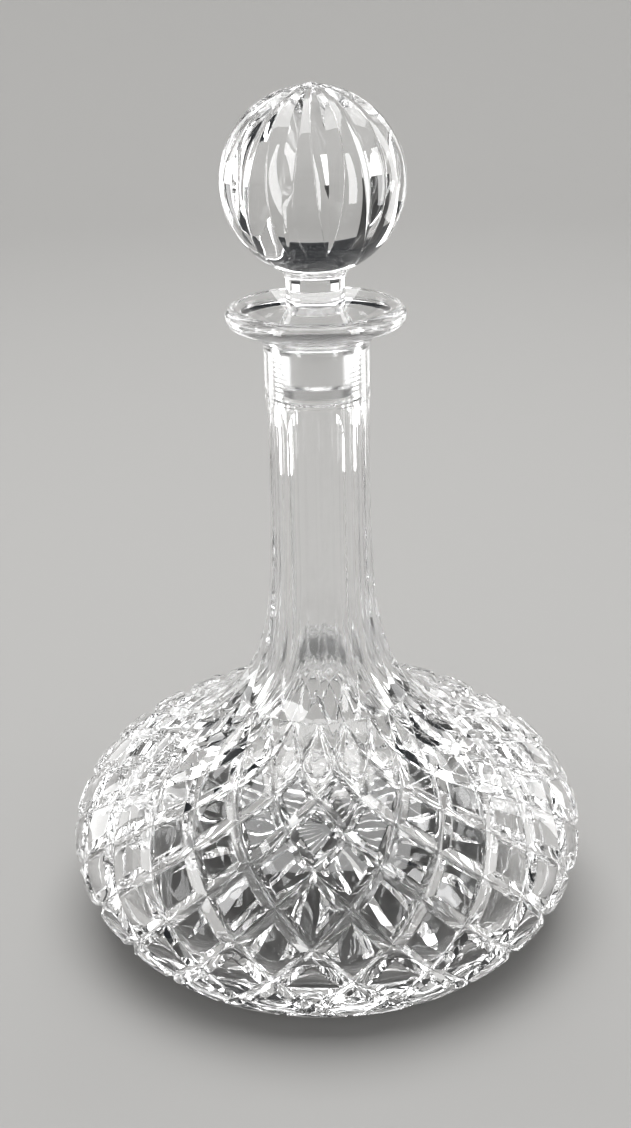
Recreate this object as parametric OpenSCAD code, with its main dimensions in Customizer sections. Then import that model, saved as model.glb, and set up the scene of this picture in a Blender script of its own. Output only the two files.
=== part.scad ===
// Ships decanter of cut crystal: a broad flat-bottomed bowl under a long fluted neck with a
// flared lip, and a solid ball stopper whose tapered plug is ground to fit the neck.
// Millimetres, +Z up. The foot stands on z = 0, the neck's axis is Z, the front faces -Y.

/* [Bowl] */
// Radius of the bowl at its widest ring
bowl_r = 90; // [80:0.5:100]
// Height of the widest ring above the table
belly_z = 31; // [27:0.5:35]
// Half height of the oval above the widest ring
crown_h = 46.7; // [40:0.1:54]
// Half height of the oval below the widest ring
keel_h = 53; // [46:0.5:60]
// How far round the oval the shoulder lies, in degrees above the widest ring
shoulder_turn = 54.5; // [48:0.5:58]
// Thickness of the bowl's floor
floor_t = 16.5; // [12:0.5:19]
// Thickness of the bowl's side between its widest ring and the hollow's
side_t = 15; // [12:0.5:20]
// How far the hollow's dome would rise above the bowl's oval
dome_rise = 2.3; // [-3:0.1:4]
// How far round the dome the neck's bore starts to flare, in degrees above the floor
roof_turn = 62; // [58:1:66]
// Radius of the hollow's rounded heel
heel_r = 12; // [8:0.5:16]

/* [Foot] */
// Radius of the flat foot
foot_r = 68; // [66:0.5:70]
// How far the foot stands below the bevel round it
foot_step = 0.6; // [0.4:0.1:1]
// Height of the bevel's upper edge, where the cutting starts
bevel_z = 3; // [2:0.5:5]
// Width of the ledge between the foot and the bevel
foot_ledge = 1.5; // [1:0.1:2.5]
// Rays of the star under the foot
star_rays = 30; // [20:2:36]
// Radius at which a ray starts
star_in = 4; // [4:0.5:8]
// Radius at which a ray is widest and deepest
star_mid = 54; // [44:1:57]
// Radius at which a ray ends
star_out = 63; // [60:0.5:64]
// Share of the room between its neighbours that a ray takes
star_share = 0.85; // [0.5:0.05:0.9]
// Depth of a ray at its deepest
star_d = 2.5; // [1.6:0.1:2.8]
// Turn of the star about the axis, in degrees from the front
star_turn = -1; // [-6:0.5:6]

/* [Cutting] */
// Mitre grooves each way round the bowl, twice the flutes of the neck
lattice_n = 22; // [16:2:28]
// Half rows of diamonds between the bevel and the petals
lattice_rows = 9; // [7:1:11]
// Depth of a mitre groove where the diamonds are largest
groove_d = 2.1; // [1.5:0.1:2.6]
// Width of a mitre groove where the diamonds are largest
groove_w = 5.4; // [4:0.1:6.4]
// How far the corners of the largest diamonds lie below their middle
pillow = 0.25; // [0.1:0.05:0.6]
// Share of its width that a groove keeps where it runs out
groove_end = 0.3; // [0.2:0.05:0.6]
// Share of its depth that a groove keeps at the bevel
groove_foot = 0.4; // [0.2:0.05:0.6]
// Turn of the cutting about the axis, in degrees from the front
cut_turn = -3.5; // [-8:0.5:8]

/* [Neck] */
// Radius of the neck across the edges of its flutes
neck_r = 16.7; // [15.5:0.1:18]
// Radius of the neck's bore below the ground seat
bore_r = 11; // [9:0.1:11.2]
// Height from the shoulder to the fillet under the lip
neck_len = 135; // [110:1:160]
// Height in which the flare shrinks to about a third
flare_len = 16.3; // [13:0.1:18]
// Height from the shoulder to the lower ends of the flutes
petal_rise = 16; // [12:0.5:20]
// Height of the plain band between the flutes and the fillet
band_h = 14; // [10:0.5:20]
// How far the plain band stands out from the fluted neck
band_proud = 0.25; // [0.1:0.05:0.5]
// Height in which a flute fades out at its top
arch_h = 12; // [8:0.5:20]
// Height in which a flute fades out at its petal
petal_h = 16; // [8:0.5:20]

/* [Lip] */
// Radius of the lip
lip_r = 28.7; // [26:0.1:31]
// Radius of the lip's rounded edge
lip_edge = 3.1; // [2.5:0.1:3.5]
// Height from the fillet's start to the middle of the rounded edge
lip_rise = 11.3; // [10:0.1:13]
// Slope of the mouth's funnel, in degrees
mouth_slope = 30; // [25:1:35]

/* [Stopper] */
// Radius of the ball
ball_r = 28.6; // [25:0.1:32]
// Radius of the shank under the ball
shank_r = 9.4; // [8:0.1:10.5]
// Height of the straight shank
shank_h = 9.5; // [7:0.5:14]
// Radius of the fillet between the shank and the ball
shank_fillet = 5; // [3:0.1:7]
// Height of the cone that widens from the shank to the plug
collar_h = 5.5; // [4:0.1:8]
// Radius of the ground plug at its top
plug_r = 12.6; // [12:0.1:13.2]
// Height of the ground plug
plug_h = 20.5; // [16:0.5:24]
// Plug height in which the diameter shrinks by one
plug_taper = 10; // [8:0.5:14]
// Width of the bevel under the plug
plug_bevel = 0.6; // [0.3:0.1:1]
// Clearance all round between the plug and its ground seat
seat_gap = 0.2; // [0.15:0.01:0.3]
// Flutes round the ball
ball_flutes = 12; // [8:1:14]
// Depth of a ball flute at its middle
flute_d = 2; // [1.4:0.1:2.4]
// Width of a ball flute at its middle
flute_w = 9.2; // [6:0.1:10]
// Turn of the ball's flutes about the axis, in degrees from the front
flute_turn = 10; // [-15:1:15]
// Latitude of the upper ends of the ball's flutes, in degrees
flute_top = 84; // [78:1:84]
// Latitude of the lower ends of the ball's flutes, in degrees
flute_low = -40; // [-50:1:-30]
// Height of the point in which the ball's flutes run together
tip_h = 0.7; // [0.4:0.1:1]
// Radius of that point's foot
tip_r = 5; // [4.5:0.5:6]

/* [Hidden] */
$fn = 96;
// overlap of two solids that are fused
lap = 1;
// gap left where two arcs would only just touch
blend = 0.12;
// how far a star ray's cutter starts below the foot
star_lap = 0.05;
// how far a ball flute's cutter stands out from the ball, and turns past the flute's ends in degrees
flute_lap = 0.2;
flute_over = 12;
// share of the lip's rounded edge at which the funnel meets it
rim_share = 0.9;
// most of a diamond's half width that its grooves may take
groove_most = 0.8;
// power by which a groove grows finer as its diamonds shrink
groove_ease = 0.25;

// heights up the axis
shoulder_z = belly_z + crown_h*sin(shoulder_turn);
shoulder_r = bowl_r*cos(shoulder_turn);
petal_z = shoulder_z + petal_rise;
neck_top_z = shoulder_z + neck_len;
band_z = neck_top_z - band_h;
lip_z = neck_top_z + lip_rise;

// lip: the rounded edge, the fillet under it and the funnel of the mouth
band_r = neck_r + band_proud;
rim_r = lip_r - lip_edge;
rim_out = rim_r - band_r;
lip_fillet = (rim_out^2 + lip_rise^2 - lip_edge^2)/2/(rim_out + lip_edge) - blend;
mouth_reach = rim_share*lip_edge;
mouth_r = rim_r - mouth_reach*sin(mouth_slope);
mouth_z = lip_z + mouth_reach*cos(mouth_slope);
function funnel_z(r) = mouth_z - (mouth_r - r)*tan(mouth_slope);

// ground seat in the neck and the plug in it
seat_z = funnel_z(plug_r + seat_gap);
plug_low_z = seat_z - plug_h;
plug_low_r = plug_r - plug_h/plug_taper/2;
collar_z = seat_z + collar_h;
fillet_z = collar_z + shank_h;
fillet_r = shank_r + shank_fillet;
ball_z = fillet_z + sqrt((ball_r + shank_fillet + blend)^2 - fillet_r^2);

// bowl's oval and the flare that carries it into the neck
flare_w = shoulder_r - neck_r;
function oval_h(z) = z < belly_z ? keel_h : crown_h;
function oval_r(z) = bowl_r*sqrt(max(0, 1 - ((z - belly_z)/oval_h(z))^2));
function skin_r(z) = z < shoulder_z ? oval_r(z) : neck_r + flare_w*exp((shoulder_z - z)/flare_len);

// hollow: a dome with a rounded heel, and a flare that carries it into the bore without a crease
hollow_r = bowl_r - side_t;
dome_h = belly_z + crown_h + dome_rise - floor_t;
roof_r = hollow_r*cos(roof_turn);
roof_z = floor_t + dome_h*sin(roof_turn);
roof_flare = (roof_r - bore_r)*dome_h/hollow_r/tan(roof_turn);
function heel_cut(z) = heel_r*(1 - sqrt(1 - max(0, 1 - (z - floor_t)/heel_r)^2));
function inside_r(z) =
    z < roof_z
        ? hollow_r*sqrt(1 - ((z - floor_t)/dome_h)^2) - heel_cut(z)
        : bore_r + (roof_r - bore_r)*exp((roof_z - z)/roof_flare);

// length of the skin from the bevel up to the petals, as [length, height] pairs
climb_n = 120;
climb_z = [for (i = [0:climb_n]) bevel_z + (petal_z - bevel_z)*i/climb_n];
function stretch(i) = norm([skin_r(climb_z[i]) - skin_r(climb_z[i - 1]), climb_z[i] - climb_z[i - 1]]);
climb_s = [for (i = 0, s = 0; i <= climb_n; i = i + 1, s = s + (i <= climb_n ? stretch(i) : 0)) s];
climb = [for (i = [0:climb_n]) [climb_s[i], climb_z[i]]];
row_h = climb_s[climb_n]/lattice_rows;
function row_z(k) = lookup(k*row_h, climb);

// place on the skin at an angle, a row and a depth
half = 180/lattice_n;
probe = 0.05;
function at(a, r, z) = [r*cos(a), r*sin(a), z];
function row_way(k) =
    let (lo = row_z(k - probe), hi = row_z(k + probe), way = [skin_r(hi) - skin_r(lo), hi - lo])
    way/norm(way);
function on_skin(a, k, depth = 0) =
    let (z = row_z(k), way = row_way(k))
    at(a, skin_r(z) - depth*way[1], z + depth*way[0]);

// lattice: crossings of the grooves, and the diamonds between them
front = cut_turn - 90;
function stagger(k) = (lattice_rows - k)%2;
function cross_a(i, k) = front + (2*i + stagger(k))*half;
function ends(k) = k <= 0 || k >= lattice_rows;
function reach(k) = let (a = skin_r(row_z(k))*half*PI/180) a*row_h/norm([a, row_h]);
reach_most = max([for (k = [1:lattice_rows - 1]) reach(k)]);
function fine(k) = (reach(k)/reach_most)^groove_ease;
function shrink(k) = min(groove_w/2*fine(k)/reach(k), groove_most);
function corner(k, toward) = shrink(k)*(ends(toward) ? groove_end : 1);
function deep(k) = (groove_d + pillow)*(k == 0 ? groove_foot : k == lattice_rows ? 0 : fine(k));
function droop(k) = pillow*fine(k);
crossings = [
    for (k = [0:lattice_rows]) for (i = [0:lattice_n - 1])
        on_skin(cross_a(i, k), k, deep(k))
];
diamonds = [
    for (k = [1:lattice_rows - 1]) for (c = [0:lattice_n - 1])
        let (a = cross_a(c, k) + half, s = shrink(k))
        each [
            on_skin(a - half*(1 - s), k, droop(k)),
            on_skin(a, k + 1 - corner(k, k + 1), droop(k)),
            on_skin(a + half*(1 - s), k, droop(k)),
            on_skin(a, k - 1 + corner(k, k - 1), droop(k)),
            on_skin(a, k)
        ]
];
top_halves = [
    for (c = [0:lattice_n - 1])
        let (a = cross_a(c, lattice_rows) + half, k = lattice_rows - 1)
        each [on_skin(a, lattice_rows), on_skin(a, k + shrink(k), droop(k))]
];
low_halves = [
    for (c = [0:lattice_n - 1])
        let (a = cross_a(c, 0) + half)
        each [on_skin(a, 0), on_skin(a, 1 - shrink(1), droop(1))]
];

// neck: rings of points whose flutes are flats that fade out at both ends
neck_rings = 24;
ring_n = 2*lattice_n;
function fade(u) = 1 - (1 - min(1, max(0, u)))^2;
function flute_depth(z) =
    (1 - cos(2*half))*min(fade((z - petal_z)/petal_h), fade((band_z - lap - z)/arch_h));
function flute_share(m, z) = min(1, (1 - flute_depth(z))/cos(half*(m%4 - 2)));
neck = [
    for (j = [1:neck_rings]) let (z = petal_z + (band_z - petal_z)*j/neck_rings)
        for (m = [0:ring_n - 1]) at(front + m*half, skin_r(z)*flute_share(m, z), z)
];
bevel = [for (m = [0:ring_n - 1]) at(cross_a(0, 0) + m*half, foot_r + foot_ledge, foot_step)];

// where each group of points starts in the whole list
diamond_0 = len(crossings);
top_0 = diamond_0 + len(diamonds);
low_0 = top_0 + len(top_halves);
neck_0 = low_0 + len(low_halves);
bevel_0 = neck_0 + len(neck);
function cross_id(i, k) = k*lattice_n + i%lattice_n;
function top_id(m) = m%2 == 0 ? cross_id(m/2, lattice_rows) : top_0 + m%ring_n - 1;
function low_id(m) = m%2 == 0 ? cross_id(m/2, 0) : low_0 + m%ring_n - 1;
function neck_id(m, j) = j == 0 ? top_id(m) : neck_0 + (j - 1)*ring_n + m%ring_n;
function bevel_id(m) = bevel_0 + m%ring_n;

// faces, clockwise from outside
function quad(a, b, c, d) = [[a, b, c], [a, c, d]];
function diamond_faces(c, k) =
    let (
        d = diamond_0 + ((k - 1)*lattice_n + c)*5,
        up = c + stagger(k),
        rim = [cross_id(c, k), cross_id(up, k + 1), cross_id(c + 1, k), cross_id(up, k - 1)]
    )
    [
        for (e = [0:3]) let (f = (e + 1)%4)
            each concat([[d + 4, d + e, d + f]], quad(rim[e], rim[f], d + f, d + e))
    ];
function top_faces(c) =
    let (m = top_0 + 2*c, l = top_id(2*c), r = top_id(2*c + 2), b = cross_id(c, lattice_rows - 1))
    [[l, m, m + 1], [m, r, m + 1], [l, m + 1, b], [r, b, m + 1]];
function low_faces(c) =
    let (m = low_0 + 2*c, l = low_id(2*c), r = low_id(2*c + 2), t = cross_id(c + stagger(0), 1))
    [[l, m + 1, m], [m, m + 1, r], [l, t, m + 1], [r, m + 1, t]];
skin_faces = concat(
    [for (k = [1:lattice_rows - 1]) for (c = [0:lattice_n - 1]) each diamond_faces(c, k)],
    [for (c = [0:lattice_n - 1]) each concat(top_faces(c), low_faces(c))],
    [
        for (j = [0:neck_rings - 1]) for (m = [0:ring_n - 1])
            each quad(neck_id(m, j), neck_id(m, j + 1), neck_id(m + 1, j + 1), neck_id(m + 1, j))
    ],
    [for (m = [0:ring_n - 1]) each quad(bevel_id(m), low_id(m), low_id(m + 1), bevel_id(m + 1))],
    [[for (m = [ring_n - 1:-1:0]) neck_id(m, neck_rings)], [for (m = [0:ring_n - 1]) bevel_id(m)]]
);

// the cut skin of the bowl and the fluted neck, as one closed form
module cut_skin() {
    polyhedron(concat(crossings, diamonds, top_halves, low_halves, neck, bevel), skin_faces);
}

// outline of the plain band, the fillet and the flared lip
module lip_outline() {
    fillet_c = band_r + lip_fillet;
    translate([rim_r, lip_z]) circle(r = lip_edge);
    difference() {
        polygon([
            [0, band_z - lap],
            [band_r, band_z - lap],
            [band_r, neck_top_z],
            [fillet_c, neck_top_z],
            [rim_r, lip_z],
            [mouth_r, mouth_z],
            [0, funnel_z(0)]
        ]);
        translate([fillet_c, neck_top_z]) circle(r = lip_fillet);
    }
}

// space inside: the bowl, the neck's bore and the tapered seat of the plug
module hollow() {
    hollow_n = 56;
    crowd = 1.5;
    bore_z = band_z - neck_len/4;
    seat_low_z = plug_low_z - lap;
    seat_slope = 1/plug_taper/2;
    seat_top_r = plug_r + seat_gap;
    hollow_top_z = lip_z + 2*lip_edge;
    wall = [
        for (i = [0:hollow_n]) let (z = floor_t + (bore_z - floor_t)*(i/hollow_n)^crowd)
            [inside_r(z), z]
    ];
    rotate_extrude() polygon(concat(
        [[0, floor_t]],
        wall,
        [
            [bore_r, seat_low_z - lap],
            [seat_top_r - (seat_z - seat_low_z)*seat_slope, seat_low_z],
            [seat_top_r + (hollow_top_z - seat_z)*seat_slope, hollow_top_z],
            [0, hollow_top_z]
        ]
    ));
}

// one ray of the star: a mitre cut that widens outward and ends in a short point
module star_ray() {
    over = 1 + star_lap/star_d;
    wide = star_share*star_mid*tan(180/star_rays);
    translate([star_mid, 0, -star_lap])
        linear_extrude(height = star_d + star_lap, scale = 0)
            polygon(over*[
                [star_in - star_mid, 0],
                [0, -wide],
                [star_out - star_mid, 0],
                [0, wide]
            ]);
}

module decanter() {
    color("gainsboro", 0.5)
        difference() {
            union() {
                cut_skin();
                cylinder(r = foot_r, h = foot_step + lap);
                rotate_extrude() lip_outline();
            }
            hollow();
            for (i = [0:star_rays - 1]) rotate(star_turn - 90 + i*360/star_rays) star_ray();
        }
}

// outline of the stopper, from the ground plug up to the ball
module stopper_outline() {
    intersection() {
        translate([0, ball_z]) circle(r = ball_r);
        translate([0, ball_z - ball_r]) square(2*ball_r);
    }
    polygon([[0, ball_z], [tip_r, ball_z + sqrt(ball_r^2 - tip_r^2) - blend], [0, ball_z + ball_r + tip_h]]);
    difference() {
        polygon([
            [0, plug_low_z],
            [plug_low_r - plug_bevel, plug_low_z],
            [plug_low_r, plug_low_z + plug_bevel],
            [plug_r, seat_z],
            [shank_r, collar_z],
            [shank_r, fillet_z],
            [fillet_r, fillet_z],
            [0, ball_z]
        ]);
        translate([fillet_r, fillet_z]) circle(r = shank_fillet);
    }
}

// one flute of the ball: a shallow mitre along a meridian, deepest halfway between its ends
module ball_flute() {
    middle = (flute_top + flute_low)/2;
    span = (flute_top - flute_low)/2;
    dip = (2*ball_r*flute_d - flute_d^2)/2/(ball_r - ball_r*cos(span) - flute_d);
    hoop_r = ball_r - flute_d + dip;
    edge = 2*flute_d;
    swing = span + flute_over;
    intersection() {
        translate([-dip*cos(middle), 0, ball_z - dip*sin(middle)])
            rotate([90, 0, 0])
                rotate(middle - swing)
                    rotate_extrude(angle = 2*swing)
                        polygon([[hoop_r, 0], [hoop_r + edge, -flute_w], [hoop_r + edge, flute_w]]);
        translate([0, 0, ball_z]) sphere(r = ball_r + flute_lap);
    }
}

module stopper() {
    color("whitesmoke", 0.5)
        difference() {
            rotate_extrude() stopper_outline();
            for (i = [0:ball_flutes - 1]) rotate(flute_turn - 90 + i*360/ball_flutes) ball_flute();
        }
}

decanter();
stopper();
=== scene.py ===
import math

import bpy
import numpy as np
from mathutils import Matrix, Vector


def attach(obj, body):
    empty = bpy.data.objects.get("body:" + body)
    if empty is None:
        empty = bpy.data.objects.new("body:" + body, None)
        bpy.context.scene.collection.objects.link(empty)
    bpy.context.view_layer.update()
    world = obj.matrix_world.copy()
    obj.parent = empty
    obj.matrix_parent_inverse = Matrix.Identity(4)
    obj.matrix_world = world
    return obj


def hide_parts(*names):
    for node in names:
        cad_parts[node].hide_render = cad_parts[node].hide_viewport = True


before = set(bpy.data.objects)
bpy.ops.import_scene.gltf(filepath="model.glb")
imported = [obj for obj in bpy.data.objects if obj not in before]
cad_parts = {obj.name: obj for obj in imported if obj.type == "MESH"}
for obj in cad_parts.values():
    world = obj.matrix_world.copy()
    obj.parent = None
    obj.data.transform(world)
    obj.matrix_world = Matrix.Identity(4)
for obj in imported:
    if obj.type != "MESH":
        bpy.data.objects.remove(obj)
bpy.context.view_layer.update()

mm = 0.001  # the pieces below are drawn in millimetres
print("frame loaded:", sorted(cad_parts))


# colours, nodes and objects

def srgb(hexColour, alpha=1.0):
    channels = [int(hexColour[i:i + 2], 16) / 255 for i in (1, 3, 5)]
    return [c / 12.92 if c <= 0.04045 else ((c + 0.055) / 1.055) ** 2.4 for c in channels] + [alpha]


def addNode(tree, kind, settings=None, links=None):  # settings: sockets or properties, links: input -> output socket
    node = tree.nodes.new(kind)
    for name, value in (settings or {}).items():
        if name in node.inputs:
            node.inputs[name].default_value = value
        else:
            setattr(node, name, value)
    for name, source in (links or {}).items():
        tree.links.new(source, node.inputs[name])
    return node


def putInScene(name, data):
    thing = bpy.data.objects.new(name, data)
    bpy.context.scene.collection.objects.link(thing)
    return thing


# lead crystal, wheel cut and then acid polished: clear, water white, with a faint haze of fine polishing
crystal = {
    "colour": "#fefefe",
    "ior": 1.55,
    "polish": 0.0,  # roughness where the polish is best
    "haze": 0.02,  # roughness where it is handled most
    "hazeMm": 38.0,  # size of the handled patches
    "hazeFrom": 0.45, "hazeFull": 0.8,  # where in the noise the haze begins and is full
    "rippleMm": 9.0,  # size of the ripples that polishing leaves
    "rippleDeepMm": 0.4, "rippleStrength": 0.06,
    "shadow": "#cccccc",  # tint of the light that comes through
}

# the same glass ground with sand and water: a grey bloom with fine rings round the axis
groundGlass = {
    "colour": "#fafafa",
    "ior": 1.55,
    "roughness": 0.14,
    "roughSpread": 0.4,  # how far the grit moves the roughness up and down
    "ringMm": 1.6,  # coarser than real grinding rings, so that they show
    "gritMm": 0.7,  # coarser than real grit, so that it shows
    "deepMm": 0.3, "strength": 0.08,
    "shadow": "#cccccc",
}


def emptyMaterial(name):  # the material, its cleared nodes, and the place on the piece that patterns start from
    material = bpy.data.materials.new(name)
    material.use_nodes = True
    tree = material.node_tree
    tree.nodes.clear()
    return material, tree, addNode(tree, "ShaderNodeTexCoord").outputs["Object"]


def finishGlass(tree, look, roughness, normal):
    glass = addNode(tree, "ShaderNodeBsdfPrincipled",
                    {"Base Color": srgb(look["colour"]), "IOR": look["ior"], "Transmission Weight": 1.0},
                    {"Roughness": roughness, "Normal": normal})
    path = addNode(tree, "ShaderNodeLightPath")  # lamps shine through the glass, so that it casts a light shadow
    clear = addNode(tree, "ShaderNodeBsdfTransparent", {"Color": srgb(look["shadow"])})
    mix = addNode(tree, "ShaderNodeMixShader", None,
                  {0: path.outputs["Is Shadow Ray"], 1: glass.outputs[0], 2: clear.outputs[0]})
    addNode(tree, "ShaderNodeOutputMaterial", None, {"Surface": mix.outputs[0]})


def makeCrystal(name, look):
    material, tree, place = emptyMaterial(name)
    patches = addNode(tree, "ShaderNodeTexNoise", {"Scale": 1 / (look["hazeMm"] * mm), "Detail": 3.0},
                      {"Vector": place})
    rough = addNode(tree, "ShaderNodeMapRange",
                    {"From Min": look["hazeFrom"], "From Max": look["hazeFull"],
                     "To Min": look["polish"], "To Max": look["haze"]},
                    {"Value": patches.outputs["Fac"]})
    ripples = addNode(tree, "ShaderNodeTexNoise", {"Scale": 1 / (look["rippleMm"] * mm), "Detail": 1.0},
                      {"Vector": place})
    bump = addNode(tree, "ShaderNodeBump",
                   {"Strength": look["rippleStrength"], "Distance": look["rippleDeepMm"] * mm},
                   {"Height": ripples.outputs["Fac"]})
    finishGlass(tree, look, rough.outputs["Result"], bump.outputs["Normal"])
    return material


def makeGroundGlass(name, look):
    material, tree, place = emptyMaterial(name)
    rings = addNode(tree, "ShaderNodeTexWave",
                    {"bands_direction": "Z", "Scale": math.pi / 10 / (look["ringMm"] * mm),
                     "Distortion": 0.6, "Detail": 2.0},
                    {"Vector": place})
    grit = addNode(tree, "ShaderNodeTexNoise", {"Scale": 1 / (look["gritMm"] * mm), "Detail": 2.0},
                   {"Vector": place})
    both = addNode(tree, "ShaderNodeMath", {"operation": "ADD"}, {0: rings.outputs["Fac"], 1: grit.outputs["Fac"]})
    bump = addNode(tree, "ShaderNodeBump", {"Strength": look["strength"], "Distance": look["deepMm"] * mm},
                   {"Height": both.outputs[0]})
    rough = addNode(tree, "ShaderNodeMapRange",
                    {"To Min": look["roughness"] * (1 - look["roughSpread"]),
                     "To Max": look["roughness"] * (1 + look["roughSpread"])},
                    {"Value": grit.outputs["Fac"]})
    finishGlass(tree, look, rough.outputs["Result"], bump.outputs["Normal"])
    return material


crystalMaterial = makeCrystal("lead_crystal_polished", crystal)
groundMaterial = makeGroundGlass("lead_crystal_ground", groundGlass)
print("materials made")


# decanter: the blown body with its cut skin, in millimetres and degrees

decanter = {
    # bowl
    "bowlR": 90.0, "bellyZ": 31.0, "crownH": 46.7, "keelH": 53.0, "shoulderTurn": 54.5,
    # hollow
    "floorT": 16.5, "sideT": 15.0, "domeRise": 2.3, "roofTurn": 62.0, "heelR": 12.0,
    "floorRings": (52.0, 36.0, 20.0, 8.0),
    # foot
    "footR": 68.0, "footStep": 0.6, "footLedge": 1.5, "bevelZ": 3.0, "stepRound": 0.1, "footRound": 0.2,
    # star under the foot
    "starRays": 30, "starIn": 3.0, "starMid": 54.0, "starOut": 63.0, "starShare": 0.85, "starD": 2.5,
    "starTurn": -1.0, "starBorder": 3.0, "rayLeast": 0.02,
    "starRings": (60.0, 57.0, 54.0, 48.0, 40.0, 32.0, 24.0, 16.0, 9.0, 5.0, 3.0),
    # diamond lattice
    "latticeN": 22, "latticeRows": 9, "cutTurn": -3.5, "grooveD": 2.1, "grooveW": 5.4, "grooveEase": 0.25,
    "grooveFoot": 0.4, "grooveLeast": 0.25, "grooveMost": 0.3, "pillow": 0.25,
    # neck
    "neckR": 16.7, "boreR": 11.0, "neckLen": 135.0, "flareLen": 16.3, "petalRise": 16.0, "petalH": 16.0,
    "archH": 12.0, "flatLeast": 0.05, "flatMost": 0.95,
    # plain band, lip, mouth and ground seat
    "bandH": 14.0, "bandProud": 0.25, "bandLap": 1.0, "bandMid": 5.0, "bandBevel": (0.1, 0.15),
    "lipR": 28.7, "lipEdge": 3.1, "lipRise": 11.3, "mouthSlope": 30.0, "rimShare": 0.9,
    "plugR": 12.6, "plugH": 20.5, "plugTaper": 10.0, "seatGap": 0.2,
}
d = decanter
shoulderZ = d["bellyZ"] + d["crownH"] * math.sin(math.radians(d["shoulderTurn"]))
shoulderR = d["bowlR"] * math.cos(math.radians(d["shoulderTurn"]))
petalZ = shoulderZ + d["petalRise"]
neckTopZ = shoulderZ + d["neckLen"]
bandZ = neckTopZ - d["bandH"]
fluteTopZ = bandZ - d["bandLap"]
lipZ = neckTopZ + d["lipRise"]
bandR = d["neckR"] + d["bandProud"]
rimR = d["lipR"] - d["lipEdge"]
slope = math.radians(d["mouthSlope"])
mouthR = rimR - d["rimShare"] * d["lipEdge"] * math.sin(slope)
mouthZ = lipZ + d["rimShare"] * d["lipEdge"] * math.cos(slope)
seatR = d["plugR"] + d["seatGap"]
seatZ = mouthZ - (mouthR - seatR) * math.tan(slope)
seatSlope = 1 / d["plugTaper"] / 2
seatLowZ = seatZ - d["plugH"] - d["bandLap"]
boreLowZ = seatLowZ - d["bandLap"]
hollowR = d["bowlR"] - d["sideT"]
domeH = d["bellyZ"] + d["crownH"] + d["domeRise"] - d["floorT"]
front = d["cutTurn"] - 90
half = 180 / d["latticeN"]

# how many rings draw each curve
ringCounts = {"climb": 600, "fillet": 14, "rim": 22, "funnel": 7, "seat": 9, "dome": 34, "heel": 14}


def skinR(z):  # radius of the blown body before it was cut
    z = np.asarray(z, float)
    oval = np.where(z < d["bellyZ"], d["keelH"], d["crownH"])
    body = d["bowlR"] * np.sqrt(np.maximum(0, 1 - ((z - d["bellyZ"]) / oval) ** 2))
    flare = d["neckR"] + (shoulderR - d["neckR"]) * np.exp((shoulderZ - z) / d["flareLen"])
    return np.where(z < shoulderZ, body, flare)


def hollowProfile():  # the inside from the bore down to the floor: flare, dome and rounded heel
    turn = math.radians(d["roofTurn"])
    roofR, roofZ = hollowR * math.cos(turn), d["floorT"] + domeH * math.sin(turn)
    boreFlare = (roofR - d["boreR"]) / (hollowR / domeH * math.tan(turn))
    points = []
    for z in np.linspace(boreLowZ, roofZ, ringCounts["dome"]):
        points.append((d["boreR"] + (roofR - d["boreR"]) * math.exp((roofZ - z) / boreFlare), z))
    heelTurn = math.asin(d["heelR"] / domeH)
    for a in np.linspace(turn, heelTurn, ringCounts["dome"])[1:]:
        points.append((hollowR * math.cos(a), d["floorT"] + domeH * math.sin(a)))
    for a in np.linspace(0, math.pi / 2, ringCounts["heel"])[1:]:
        z = d["floorT"] + d["heelR"] * (1 - math.sin(a))
        dome = hollowR * math.sqrt(1 - ((z - d["floorT"]) / domeH) ** 2)
        points.append((dome - d["heelR"] * (1 - math.cos(a)), z))
    return points


# rows of the lattice lie evenly along the skin
climbZ = np.linspace(d["bevelZ"], petalZ, ringCounts["climb"])
climbS = np.concatenate([[0], np.cumsum(np.hypot(np.diff(skinR(climbZ)), np.diff(climbZ)))])
rowH = climbS[-1] / d["latticeRows"]


def skinAt(row):  # height, radius and the skin's direction at a row, which may be a fraction
    z = np.interp(np.clip(row, 0, d["latticeRows"]) * rowH, climbS, climbZ)
    step = 0.05  # to either side, to read the direction
    way = np.array([skinR(z + step) - skinR(z - step), np.full_like(z, 2 * step)])
    return z, skinR(z), way / np.linalg.norm(way, axis=0)


def taper(row):  # grooves run out at the petals and grow shallow at the foot
    top = np.clip(d["latticeRows"] - row, 0, 1)
    low = d["grooveFoot"] + (1 - d["grooveFoot"]) * np.clip(row, 0, 1)
    return top * low


def pitchMm(row):  # distance between neighbouring grooves
    across = skinAt(row)[1] * math.radians(half)
    return 2 * across * rowH / np.hypot(across, rowH)


bellyRow = 3.0
bellyPitch = float(pitchMm(np.array(bellyRow)))


def grooveFine(row):  # grooves grow a little finer as the diamonds shrink
    return (pitchMm(row) / bellyPitch) ** d["grooveEase"]


def grooveShare(row):  # half width of a groove as a share of the pitch
    width = d["grooveW"] * grooveFine(row) * np.maximum(taper(row), d["grooveLeast"])
    return np.minimum(width / 2 / pitchMm(row), d["grooveMost"])


# lines across one diamond: valley, facet, rounded edge, then the skin that is left
grooveLines = [0.0, 0.1, 0.55, 0.95, 1.14]
midLines = 4
edgeN = len(grooveLines) - 1
cellN = 2 * edgeN + midLines


def linePlace(i, share):
    if i > cellN / 2:
        return 1 - linePlace(cellN - i, share)
    if i <= edgeN:
        return grooveLines[i] * share
    first = grooveLines[-1] * share
    return first + (0.5 - first) * (i - edgeN) / (midLines / 2)


valleyRound, edgeRound = 0.04, 0.004  # how soft the wheel leaves the valley and the edges


def mitre(x):  # cut depth against distance from the valley, both as shares
    x = np.sqrt(x * x + valleyRound ** 2) - valleyRound
    return 0.5 * (1 - x + np.sqrt((1 - x) ** 2 + edgeRound))


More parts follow.
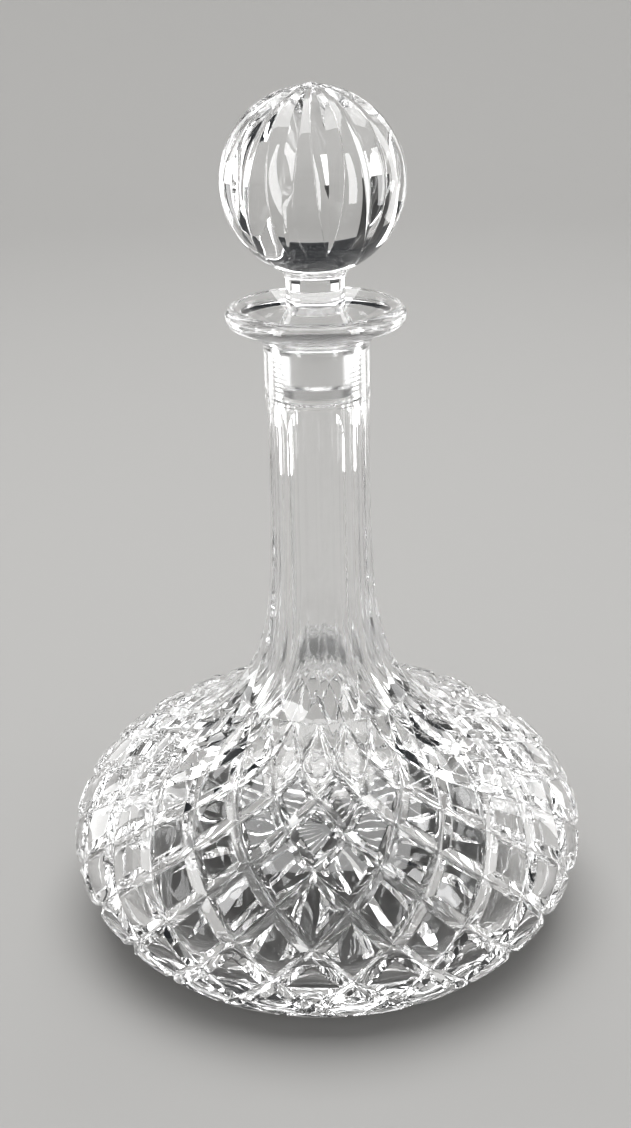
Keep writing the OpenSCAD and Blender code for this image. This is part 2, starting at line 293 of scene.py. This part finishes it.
class Shell:  # vertices and faces of one closed mesh
    def __init__(self):
        self.points, self.faces, self.slots = [], [], []

    def add(self, points):
        start = len(self.points)
        self.points.extend(tuple(float(v) for v in p) for p in points)
        return list(range(start, len(self.points)))

    def face(self, corners, slot=0):
        self.faces.append(tuple(corners))
        self.slots.append(slot)

    def band(self, low, high, slot=0):  # quads between two rings, low first when seen from outside
        for i in range(len(low)):
            j = (i + 1) % len(low)
            self.face((low[i], low[j], high[j], high[i]), slot)

    def cap(self, ring, point, slot=0):  # fan to a middle point
        middle = self.add([point])[0]
        for i in range(len(ring)):
            self.face((ring[i], ring[(i + 1) % len(ring)], middle), slot)

    def zip(self, ringA, anglesA, ringB, anglesB):  # flat collar between rings of different counts
        a = b = 0
        never = 1e6  # keeps a finished ring from stepping on
        while a < len(ringA) or b < len(ringB):
            nextA = anglesA[a + 1] if a + 1 < len(ringA) else anglesA[0] + 360 + (a >= len(ringA)) * never
            nextB = anglesB[b + 1] if b + 1 < len(ringB) else anglesB[0] + 360 + (b >= len(ringB)) * never
            if nextA <= nextB:
                self.face((ringA[a % len(ringA)], ringB[b % len(ringB)], ringA[(a + 1) % len(ringA)]))
                a += 1
            else:
                self.face((ringA[a % len(ringA)], ringB[b % len(ringB)], ringB[(b + 1) % len(ringB)]))
                b += 1

    def build(self, name, materials, sharp):  # edges that turn by more than sharp degrees stay crisp
        mesh = bpy.data.meshes.new(name)
        mesh.from_pydata([(x * mm, y * mm, z * mm) for x, y, z in self.points], [], self.faces)
        for material in materials:
            mesh.materials.append(material)
        mesh.polygons.foreach_set("material_index", self.slots)
        mesh.validate()
        mesh.shade_smooth()
        mesh.set_sharp_from_angle(angle=math.radians(sharp))
        return putInScene(name, mesh)


polished, ground = 0, 1  # material slots of both pieces


def polar(angles, r, z):
    a = np.radians(angles)
    r, z = np.broadcast_to(r, a.shape), np.broadcast_to(z, a.shape)
    return np.stack([r * np.cos(a), r * np.sin(a), z], axis=-1)


shell = Shell()
latticeIds = {}
usualShare = 0.14  # a first guess at a groove's half width, to find the row that sets the true one
usualPlaces = [linePlace(i, usualShare) for i in range(cellN + 1)]
columns = d["latticeN"] * cellN


def stagger(k):
    return (d["latticeRows"] - k) % 2


def latticePoint(c, k, i, j):  # one vertex, shared by the diamonds that meet there
    gi = (k + 2 * c + stagger(k) - 1) // 2 * cellN + i
    gj = (k - 2 * c - stagger(k) - 3) // 2 * cellN + j
    lap = gi // columns
    key = gi - lap * columns, gj + lap * columns
    if key not in latticeIds:
        row = k + usualPlaces[i] + usualPlaces[j] - 1
        share = float(grooveShare(np.array(row)))
        p, q = linePlace(i, share), linePlace(j, share)
        row = k + p + q - 1
        z, r, way = skinAt(np.array(row))
        near = min(min(p, 1 - p), min(q, 1 - q)) / share
        dome = 1 - (1 - (2 * p - 1) ** 2) * (1 - (2 * q - 1) ** 2)
        depth = d["grooveD"] * float(mitre(near)) + d["pillow"] * dome
        depth *= float(grooveFine(np.array(row)) * taper(row))
        angle = front + (2 * c + stagger(k) + 1 + p - q) * half
        latticeIds[key] = shell.add(polar(np.array([angle]), r - depth * way[1], z + depth * way[0]))[0]
    return latticeIds[key]


lowRow, topRow = 0, d["latticeRows"]
for k in range(lowRow, topRow + 1):
    for c in range(d["latticeN"]):
        for i in range(cellN):
            for j in range(cellN):
                spot = [(i, j), (i + 1, j), (i + 1, j + 1), (i, j + 1)]
                if k == topRow:
                    spot = [s for s in spot if sum(s) <= cellN]
                if k == lowRow:
                    spot = [s for s in spot if sum(s) >= cellN]
                if len(spot) < 3:
                    continue
                ids = [latticePoint(c, k, *s) for s in spot]
                # quads on a mitre at a diamond's corner are split along it
                if len(ids) == 4 and i == j and (i < edgeN or i >= cellN - edgeN):
                    shell.face((ids[0], ids[1], ids[2]))
                    shell.face((ids[0], ids[2], ids[3]))
                elif len(ids) == 4 and i + j == cellN - 1 and (i < edgeN or j < edgeN):
                    shell.face((ids[0], ids[1], ids[3]))
                    shell.face((ids[1], ids[2], ids[3]))
                else:
                    shell.face(ids)

ring = [latticePoint(c, topRow, i, cellN - i) for c in range(d["latticeN"]) for i in range(cellN)]
footRing = [latticePoint(c, lowRow, i, cellN - i) for c in range(d["latticeN"]) for i in range(cellN)]
print("lattice cut:", len(shell.points), "points")

# neck: flats between the petals and the plain band, with columns that follow each flat's edge
fluteCount = d["latticeN"] // 2
flutePitch = 360 / fluteCount
fluteHalf = flutePitch / 2
ridgeN = 4  # columns of the round skin left on either side of a flat
flatN = 2 * (cellN - ridgeN)


def fade(u):
    return 1 - (1 - min(1.0, max(0.0, u))) ** 2


def fluteDepth(z):
    ends = min(fade((z - petalZ) / d["petalH"]), fade((fluteTopZ - z) / d["archH"]))
    return (1 - math.cos(math.radians(fluteHalf))) * ends


def neckRing(z):
    depth = fluteDepth(z)
    edge = math.degrees(math.acos(1 - depth))
    edge = min(max(edge, d["flatLeast"] * fluteHalf), d["flatMost"] * fluteHalf)
    side = np.linspace(edge, fluteHalf, ridgeN + 1)[1:]
    offs = np.concatenate([-side[::-1], np.linspace(-edge, edge, flatN + 1), side[:-1]])
    share = np.minimum(1, (1 - depth) / np.cos(np.radians(offs)))
    angles = np.concatenate([front + fluteHalf + flutePitch * f + offs for f in range(fluteCount)])
    return polar(angles, float(skinR(z)) * np.tile(share, fluteCount), z)


# the neck's rings stand close where the petals and the arches curve: millimetres above the petals or below the band
neckZ = np.concatenate([petalZ + np.array([0.25, 0.7, 1.4, 2.3, 3.4]),
                        np.linspace(petalZ + 5, petalZ + 32, 20),
                        np.linspace(petalZ + 36, fluteTopZ - 14, 12),
                        np.linspace(fluteTopZ - 12, fluteTopZ - 3, 10),
                        fluteTopZ - np.array([2.1, 1.3, 0.7, 0.25])])
for z in neckZ:
    upper = shell.add(neckRing(float(z)))
    shell.band(ring, upper)
    ring = upper
ringAngles = front + np.arange(columns) * 360 / columns

# band, fillet and flared lip, then down the funnel, the ground seat, the bore and the hollow
rimOut = rimR - bandR
lipFillet = (rimOut ** 2 + d["lipRise"] ** 2 - d["lipEdge"] ** 2) / 2 / (rimOut + d["lipEdge"])
filletR = bandR + lipFillet
toLip = math.atan2(lipZ - neckTopZ, rimR - filletR)
funnelTop = math.pi / 2 + slope - math.acos(d["rimShare"])
bevelIn, bevelUp = d["bandBevel"]
profile = [(bandR - bevelIn, fluteTopZ, polished), (bandR, fluteTopZ + bevelUp, polished),
           (bandR, bandZ + d["bandMid"], polished), (bandR, neckTopZ, polished)]
for a in np.linspace(math.pi, toLip, ringCounts["fillet"])[1:]:
    profile.append((filletR + lipFillet * math.cos(a), neckTopZ + lipFillet * math.sin(a), polished))
for a in np.linspace(toLip - math.pi, funnelTop, ringCounts["rim"])[1:]:
    profile.append((rimR + d["lipEdge"] * math.cos(a), lipZ + d["lipEdge"] * math.sin(a), polished))
rimTop = profile[-1]
for t in np.linspace(0, 1, ringCounts["funnel"])[1:]:
    profile.append((rimTop[0] + (seatR - rimTop[0]) * t, rimTop[1] + (seatZ - rimTop[1]) * t, polished))
for z in np.linspace(seatZ, seatLowZ, ringCounts["seat"])[1:]:
    profile.append((seatR - (seatZ - z) * seatSlope, z, ground))
profile += [(r, z, polished) for r, z in hollowProfile()]
profile += [(r, d["floorT"], polished) for r in d["floorRings"]]
for r, z, slot in profile:
    upper = shell.add(polar(ringAngles, r, z))
    shell.band(ring, upper, slot)
    ring = upper
shell.cap(ring, (0, 0, d["floorT"]))
print("neck, lip and hollow drawn:", len(shell.points), "points")

# foot: bevel, ledge, polished ring and the star of mitre rays under it
footAngles = np.array([math.degrees(math.atan2(shell.points[i][1], shell.points[i][0])) for i in footRing])
footAngles = np.unwrap(footAngles, period=360)
footProfile = [(d["footR"] + d["footLedge"], d["footStep"]), (d["footR"] + d["stepRound"], d["footStep"]),
               (d["footR"], d["footStep"] - d["stepRound"]), (d["footR"], d["footRound"]),
               (d["footR"] - d["footRound"], 0.0), (d["starOut"] + d["starBorder"], 0.0)]
for r, z in footProfile:
    lower = shell.add(polar(footAngles, r, z))
    shell.band(lower, footRing)
    footRing = lower
rayPitch = 360 / d["starRays"]
rayHalf = d["starShare"] * d["starMid"] * math.tan(math.radians(rayPitch / 2))


def starRing(r):  # rays widen outward from a fine middle and end in a short point
    inner = (r - d["starIn"]) / (d["starMid"] - d["starIn"])
    outer = (d["starOut"] - r) / (d["starOut"] - d["starMid"])
    part = max(0.0, min(inner, outer))
    edge = math.degrees(math.asin(min(1, max(rayHalf * part, d["rayLeast"]) / r)))
    offs = np.array([-rayPitch / 2, -edge, 0, edge])
    high = np.array([0, 0, d["starD"] * part, 0])
    angles = np.concatenate([d["starTurn"] - 90 + rayPitch * i + offs for i in range(d["starRays"])])
    return angles, polar(angles, r, np.tile(high, d["starRays"]))


starAngles, starPoints = starRing(d["starOut"])
starIds = shell.add(starPoints)
shift = np.argmin(np.abs(footAngles - starAngles[0]))
shell.zip(footRing[shift:] + footRing[:shift],
          np.concatenate([footAngles[shift:], footAngles[:shift] + 360]), starIds, starAngles)
for r in d["starRings"]:
    lower = shell.add(starRing(r)[1])
    shell.band(lower, starIds)
    starIds = lower
shell.cap(starIds[::-1], (0, 0, 0))

decanterPiece = shell.build("decanter_glass", [crystalMaterial, groundMaterial], 12)
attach(decanterPiece, "decanter")
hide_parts("decanter")
print("decanter built:", len(decanterPiece.data.polygons), "faces")


# stopper: solid ball with mitre flutes, shank, collar and the ground plug

stopper = {
    "ballR": 28.6, "tipH": 0.7, "shankR": 9.4, "shankH": 9.5, "shankFillet": 5.0, "collarH": 5.5,
    "plugBevel": 0.6, "plugRound": (0.25, 0.35), "collarRound": (0.2, 0.3),
    "flutes": 12, "fluteD": 2.0, "fluteW": 9.2, "fluteTurn": 10.0, "fluteTop": 84.0, "fluteLow": -40.0,
    "edgeLeast": 0.06, "edgeMost": 0.84, "edgeSoft": 0.05,
    "lowRings": 5, "fluteRings": 46, "tipLats": (86.5, 88.5), "plugRings": 10, "filletRings": 9,
}
s = stopper
plugLowZ = seatZ - d["plugH"]
plugLowR = d["plugR"] - d["plugH"] * seatSlope
collarZ = seatZ + s["collarH"]
filletZ = collarZ + s["shankH"]
ballFilletR = s["shankR"] + s["shankFillet"]
ballZ = filletZ + math.sqrt((s["ballR"] + s["shankFillet"]) ** 2 - ballFilletR ** 2)
joinLat = math.atan2(filletZ - ballZ, ballFilletR)  # where the ball meets the fillet
fluteTop, fluteLow = math.radians(s["fluteTop"]), math.radians(s["fluteLow"])
middle = math.radians((s["fluteTop"] + s["fluteLow"]) / 2)
span = math.radians((s["fluteTop"] - s["fluteLow"]) / 2)
dip = (2 * s["ballR"] * s["fluteD"] - s["fluteD"] ** 2) / 2 / (s["ballR"] * (1 - math.cos(span)) - s["fluteD"])
hoopR = s["ballR"] - s["fluteD"] + dip
facetSlope = 2 * s["fluteD"] / s["fluteW"]
ballPitch = 360 / s["flutes"]
ballHalf = ballPitch / 2
tipTurn = math.acos(s["ballR"] / (s["ballR"] + s["tipH"]))  # how far the point's cone reaches from the pole

# columns from a flute's valley over its facet and rounded edge, then across the skin that is left
facetLines = np.array([0, 0.03, 0.08, 0.3, 0.6, 0.88, 0.94, 0.98, 1.02, 1.06, 1.12])
restN = 3


def valleyDepth(lat):  # depth of a flute's valley at a latitude in radians
    reach = dip * math.sin(lat - middle)
    return max(0.0, s["ballR"] + dip * math.cos(lat - middle) - math.sqrt(hoopR ** 2 - reach ** 2))


def ballRing(lat):
    deep = valleyDepth(lat)
    full = s["ballR"] / math.cos(max(0.0, tipTurn - (math.pi / 2 - lat)))
    wide = s["ballR"] * max(math.cos(lat), 1e-6)
    edge = math.degrees(math.asin(min(1, deep / facetSlope / wide)))
    edge = min(max(edge, s["edgeLeast"] * ballHalf), s["edgeMost"] * ballHalf)
    right = np.concatenate([edge * facetLines, np.linspace(edge * facetLines[-1], ballHalf, restN + 1)[1:]])
    offs = np.concatenate([-right[:0:-1], right[:-1]])
    left = deep - facetSlope * wide * np.abs(np.sin(np.radians(offs)))
    cut = 0.5 * (left + np.sqrt(left ** 2 + (s["edgeSoft"] * deep) ** 2))
    r = np.tile(full - cut, s["flutes"])
    angles = np.concatenate([s["fluteTurn"] - 90 + ballPitch * f + offs for f in range(s["flutes"])])
    return polar(angles, r * math.cos(lat), ballZ + r * math.sin(lat))


solid = Shell()
lats = np.concatenate([np.linspace(joinLat, fluteLow, s["lowRings"])[:-1],
                       np.linspace(fluteLow, fluteTop, s["fluteRings"]), np.radians(s["tipLats"])])
plainCount = s["flutes"] * 2 * (len(facetLines) - 1 + restN)
plainAngles = s["fluteTurn"] - 90 - ballHalf + np.arange(plainCount) * 360 / plainCount
plug = [(plugLowR - s["plugBevel"], plugLowZ, polished), (plugLowR, plugLowZ + s["plugBevel"], polished)]
for z in np.linspace(plugLowZ + s["plugBevel"], seatZ, s["plugRings"])[1:]:
    plug.append((plugLowR + (z - plugLowZ) * seatSlope, z, ground))
plug += [(d["plugR"] - s["plugRound"][0], seatZ + s["plugRound"][1], polished),
         (s["shankR"] + s["collarRound"][0], collarZ - s["collarRound"][1], polished),
         (s["shankR"], collarZ, polished), (s["shankR"], filletZ, polished)]
for a in np.linspace(math.pi, math.pi + joinLat, s["filletRings"])[1:]:
    plug.append((ballFilletR + s["shankFillet"] * math.cos(a), filletZ + s["shankFillet"] * math.sin(a), polished))
ring = solid.add(polar(plainAngles, plug[0][0], plug[0][1]))
solid.cap(ring[::-1], (0, 0, plugLowZ))
for r, z, slot in plug[1:]:
    upper = solid.add(polar(plainAngles, r, z))
    solid.band(ring, upper, slot)
    ring = upper
for lat in lats[1:]:
    upper = solid.add(ballRing(float(lat)))
    solid.band(ring, upper)
    ring = upper
solid.cap(ring, (0, 0, ballZ + s["ballR"] + s["tipH"]))
stopperPiece = solid.build("stopper_glass", [crystalMaterial, groundMaterial], 13)
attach(stopperPiece, "stopper")
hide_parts("stopper")
print("stopper built:", len(stopperPiece.data.polygons), "faces")


# stage: pale floor, plain world, one soft lamp, and glowing or dark cards that only the glass sees, for painted
# highlights and painted dark reflections, in metres

stage = {
    "floor": "#c0bfbd", "innerR": 0.1, "flatR": 1.3, "curveR": 0.6, "wallH": 0.3, "floorGapMm": 0.2,
    "flatRings": 6, "curveRings": 16, "turns": 96,
    "worldLow": "#c0c3c6", "worldHigh": "#26282b", "worldFrom": 0.1, "worldTo": 0.35,
    # dark colour of the cards, seen only in the glass as painted dark reflections, and the white of the panels' glow,
    # seen only in the glass as painted highlights
    "card": "#303030", "cardLight": "#ffffff",
}

softbox = {"place": (0, 0.2, 2.2), "target": (0, 0.2, 0), "size": (2.0, 2.0), "watts": 58}

# a pair of each stands left and right of the axis: place, width, lower and upper edge, then glow; glowing panels put
# painted highlights and the dark card puts painted dark reflections into the glass alone
cards = {
    "back_panel": ((0.34, 0.55), 0.2, (0, 0.14), 1.9),
    "back_card": ((0.34, 0.55), 0.24, (0.14, 0.6), 0),
    "side_panel": ((0.4, 0.22), 0.16, (0, 0.6), 4.2),
    "front_panel": ((0.27, -0.25), 0.07, (0.14, 0.52), 9),
}


def plainMaterial(name, settings):  # one finish all over, set on the shader's own sockets
    material = bpy.data.materials.new(name)
    material.use_nodes = True
    shader = material.node_tree.nodes["Principled BSDF"]
    for socket, value in settings.items():
        shader.inputs[socket].default_value = value
    return material


def makeFloor():  # a round sheet that sweeps up into a low wall, so that no horizon shows
    z = -stage["floorGapMm"] * mm
    line = [(r, z) for r in np.linspace(stage["innerR"], stage["flatR"], stage["flatRings"])]
    for a in np.linspace(0, math.pi / 2, stage["curveRings"])[1:]:
        line.append((stage["flatR"] + stage["curveR"] * math.sin(a), z + stage["curveR"] * (1 - math.cos(a))))
    line.append((stage["flatR"] + stage["curveR"], z + stage["curveR"] + stage["wallH"]))
    count = stage["turns"]
    turns = np.arange(count) * 2 * math.pi / count
    points = [(0, 0, z)] + [(r * math.cos(a), r * math.sin(a), h) for r, h in line for a in turns]
    faces = [(0, 1 + i, 1 + (i + 1) % count) for i in range(count)]
    for row in range(len(line) - 1):
        low, high = 1 + row * count, 1 + (row + 1) * count
        faces += [(low + i, high + i, high + (i + 1) % count, low + (i + 1) % count) for i in range(count)]
    mesh = bpy.data.meshes.new("floor")
    mesh.from_pydata(points, [], faces)
    mesh.shade_smooth()
    mesh.materials.append(plainMaterial("painted_board", {  # dead matt paint on board: no shine at all
        "Base Color": srgb(stage["floor"]), "Roughness": 0.7, "Specular IOR Level": 0.0}))
    putInScene("floor", mesh)


def makeWorld():  # bright round the horizon, dark overhead
    world = bpy.data.worlds.new("studio")
    bpy.context.scene.world = world
    world.use_nodes = True
    tree = world.node_tree
    tree.nodes.clear()
    place = addNode(tree, "ShaderNodeTexCoord").outputs["Generated"]
    parts = addNode(tree, "ShaderNodeSeparateXYZ", None, {"Vector": place})
    ramp = addNode(tree, "ShaderNodeValToRGB", None, {"Fac": parts.outputs["Z"]})
    low, high = ramp.color_ramp.elements
    low.position, low.color = stage["worldFrom"], srgb(stage["worldLow"])
    high.position, high.color = stage["worldTo"], srgb(stage["worldHigh"])
    light = addNode(tree, "ShaderNodeBackground", {"Strength": 1.0}, {"Color": ramp.outputs["Color"]})
    addNode(tree, "ShaderNodeOutputWorld", None, {"Surface": light.outputs[0]})


def makeLamp(name, look):
    lamp = bpy.data.lights.new(name, "AREA")
    lamp.shape = "RECTANGLE"
    lamp.size, lamp.size_y = look["size"]
    lamp.energy = look["watts"]
    holder = putInScene(name, lamp)
    holder.location = look["place"]
    holder.rotation_euler = (Vector(look["target"]) - Vector(look["place"])).to_track_quat("-Z", "Y").to_euler()
    holder.visible_camera = False


def makeCard(name, place, wide, heights, glow):  # upright card that only the glass sees: a glowing one paints highlights and a dark one paints dark reflections along the edges of the cuts
    away = math.atan2(place[1], place[0]) + math.pi / 2
    across = (math.cos(away) * wide / 2, math.sin(away) * wide / 2)
    corners = [(-1, heights[0]), (1, heights[0]), (1, heights[1]), (-1, heights[1])]
    mesh = bpy.data.meshes.new(name)
    mesh.from_pydata([(place[0] + k * across[0], place[1] + k * across[1], z) for k, z in corners], [], [(0, 1, 2, 3)])
    mesh.materials.append(plainMaterial("glass_only_highlight_glow" if glow else "glass_only_dark_reflection", {  # a panel that glows only for the glass, a painted highlight, or a dark card seen only in the glass, a painted dark reflection
        "Base Color": srgb(stage["card"]), "Roughness": 0.9,
        "Emission Color": srgb(stage["cardLight"]), "Emission Strength": glow}))
    card = putInScene(name, mesh)
    # seen only by the glass's reflection and refraction: it lights no floor and casts no shadow, so its glow or
    # darkness is painted into the glass alone
    card.visible_camera = card.visible_diffuse = card.visible_shadow = False


makeFloor()
makeWorld()
for hand, side in (("left", -1), ("right", 1)):
    for name, (place, wide, heights, glow) in cards.items():
        makeCard("%s_%s" % (name, hand), (side * place[0], place[1]), wide, heights, glow)
makeLamp("softbox_top", softbox)

# camera: where the photograph was taken from, in its pixels, millimetres and degrees
view = {"frameLong": 1128, "focalPx": 1583.24, "shiftPx": 5.777, "sensorMm": 36, "clipMm": 10.0,
        "place": (0, -489.4, 338.2), "down": 23.068, "roll": -1.2517}
lens = bpy.data.cameras.new("camera")
lens.sensor_width = view["sensorMm"]
lens.lens = view["focalPx"] * view["sensorMm"] / view["frameLong"]
lens.shift_x = -view["shiftPx"] / view["frameLong"]
lens.clip_start = view["clipMm"] * mm
camera = putInScene("camera", lens)
camera.matrix_world = (Matrix.Translation(Vector(view["place"]) * mm)
                       @ Matrix.Rotation(math.radians(90 - view["down"]), 4, "X")
                       @ Matrix.Rotation(math.radians(view["roll"]), 4, "Z"))

scene = bpy.context.scene
scene.camera = camera
scene.view_settings.view_transform = "Standard"
scene.cycles.max_bounces = 32  # light crosses many cuts before it leaves the glass
scene.cycles.transmission_bounces = 32
scene.cycles.glossy_bounces = 16
scene.cycles.transparent_max_bounces = 32
scene.cycles.caustics_refractive = False  # the lamp already shines through the glass
scene.cycles.caustics_reflective = False
print("stage set")
